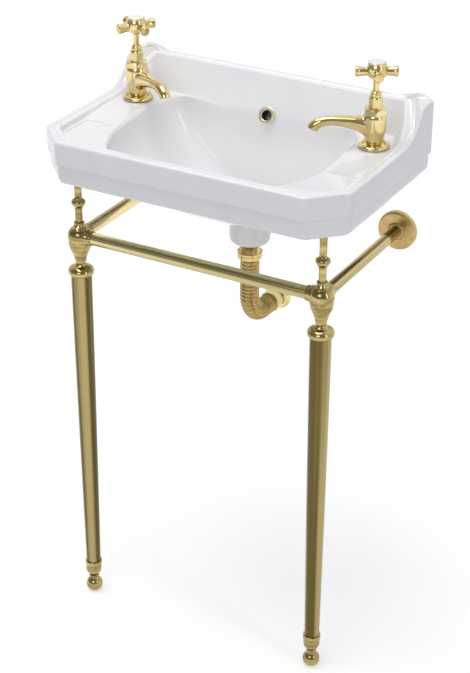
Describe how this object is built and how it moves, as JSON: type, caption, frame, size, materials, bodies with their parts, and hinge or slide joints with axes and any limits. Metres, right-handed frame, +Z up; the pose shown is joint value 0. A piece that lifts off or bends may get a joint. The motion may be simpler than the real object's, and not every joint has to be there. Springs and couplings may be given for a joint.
{
  "type": "washstand basin",
  "caption": "White glazed basin fixed to a wall, on a turned brass stand with front legs, rails, cross-handle pillar taps and a ribbed waste pipe.",
  "frame": {"origin": "midway between the two wall fixing holes, on the flat back of the basin", "axes": "+X to the right of someone facing the wall, +Y into the wall, +Z up"},
  "size_m": [0.515, 0.349, 0.9755],
  "materials": {
    "glazed_ceramic": "white glazed vitreous china",
    "polished_brass": "polished",
    "brushed_brass": "brushed",
    "black_rubber": "moulded",
    "index_ceramic": "white gloss",
    "valve_ceramic": "fine ground",
    "zinc_steel": "zinc plated"
  },
  "bodies": {
    "washstand": {"basin": "glazed_ceramic", "overflow_ring": "polished_brass", "waste_body": "polished_brass", "waste_top_seal": "black_rubber", "waste_lower_washer": "black_rubber", "waste_back_nut": "polished_brass", "waste_union_nut": "polished_brass", "union_washer": "black_rubber", "waste_pipe": "brushed_brass", "waste_wall_nut": "polished_brass", "waste_outlet": "polished_brass", "waste_wall_rosette": "polished_brass", "front_rail": "brushed_brass", "left_rail": "polished_brass", "right_rail": "polished_brass", "left_ball_joint": "polished_brass", "right_ball_joint": "polished_brass", "joint_set_screws": "zinc_steel", "hot_tap_body": "polished_brass", "hot_tap_washers": "black_rubber", "hot_tap_back_nut": "polished_brass", "hot_tap_bonnet": "polished_brass", "hot_gland_nut": "polished_brass", "hot_valve": "valve_ceramic", "cold_tap_body": "polished_brass", "cold_tap_washers": "black_rubber", "cold_tap_back_nut": "polished_brass", "cold_tap_bonnet": "polished_brass", "cold_gland_nut": "polished_brass", "cold_valve": "valve_ceramic", "left_leg_collar": "polished_brass", "left_leg_tube": "brushed_brass", "left_foot_cup": "polished_brass", "left_wall_bracket": "zinc_steel", "left_wall_cover": "brushed_brass", "right_leg_collar": "polished_brass", "right_leg_tube": "brushed_brass", "right_foot_cup": "polished_brass", "right_wall_bracket": "zinc_steel", "right_wall_cover": "brushed_brass"},
    "hot_tap_handle": {"hot_spindle": "polished_brass", "hot_handle": "polished_brass", "hot_index": "index_ceramic", "hot_handle_screw": "zinc_steel"},
    "cold_tap_handle": {"cold_spindle": "polished_brass", "cold_handle": "polished_brass", "cold_index": "index_ceramic", "cold_handle_screw": "zinc_steel"},
    "waste_stopper": {"waste_plug": "polished_brass", "plug_seal": "black_rubber"},
    "left_support": {"left_support_post": "polished_brass", "left_support_pad": "black_rubber"},
    "right_support": {"right_support_post": "polished_brass", "right_support_pad": "black_rubber"},
    "left_foot": {"left_ball_foot": "polished_brass"},
    "right_foot": {"right_ball_foot": "polished_brass"}
  },
  "joints": [
    {"name": "hot_tap_turn", "type": "hinge", "parent": "washstand", "child": "hot_tap_handle", "pos_m": [-0.2045, -0.096, 0.155], "axis": [0, 0, 1], "range_deg": [-90, 0]},
    {"name": "cold_tap_turn", "type": "hinge", "parent": "washstand", "child": "cold_tap_handle", "pos_m": [0.2045, -0.096, 0.155], "axis": [0, 0, 1], "range_deg": [0, 90]},
    {"name": "waste_plug_lift", "type": "slide", "parent": "washstand", "child": "waste_stopper", "axis": [0, 0, 1], "range_m": [0, 0.008]},
    {"name": "left_support_screw", "type": "slide", "parent": "washstand", "child": "left_support", "axis": [0, 0, 1], "range_m": [-0.008, 0]},
    {"name": "right_support_screw", "type": "slide", "parent": "washstand", "child": "right_support", "axis": [0, 0, 1], "range_m": [-0.008, 0]},
    {"name": "left_foot_screw", "type": "slide", "parent": "washstand", "child": "left_foot", "axis": [0, 0, -1], "range_m": [0, 0.01]},
    {"name": "right_foot_screw", "type": "slide", "parent": "washstand", "child": "right_foot", "axis": [0, 0, -1], "range_m": [0, 0.01]}
  ]
}
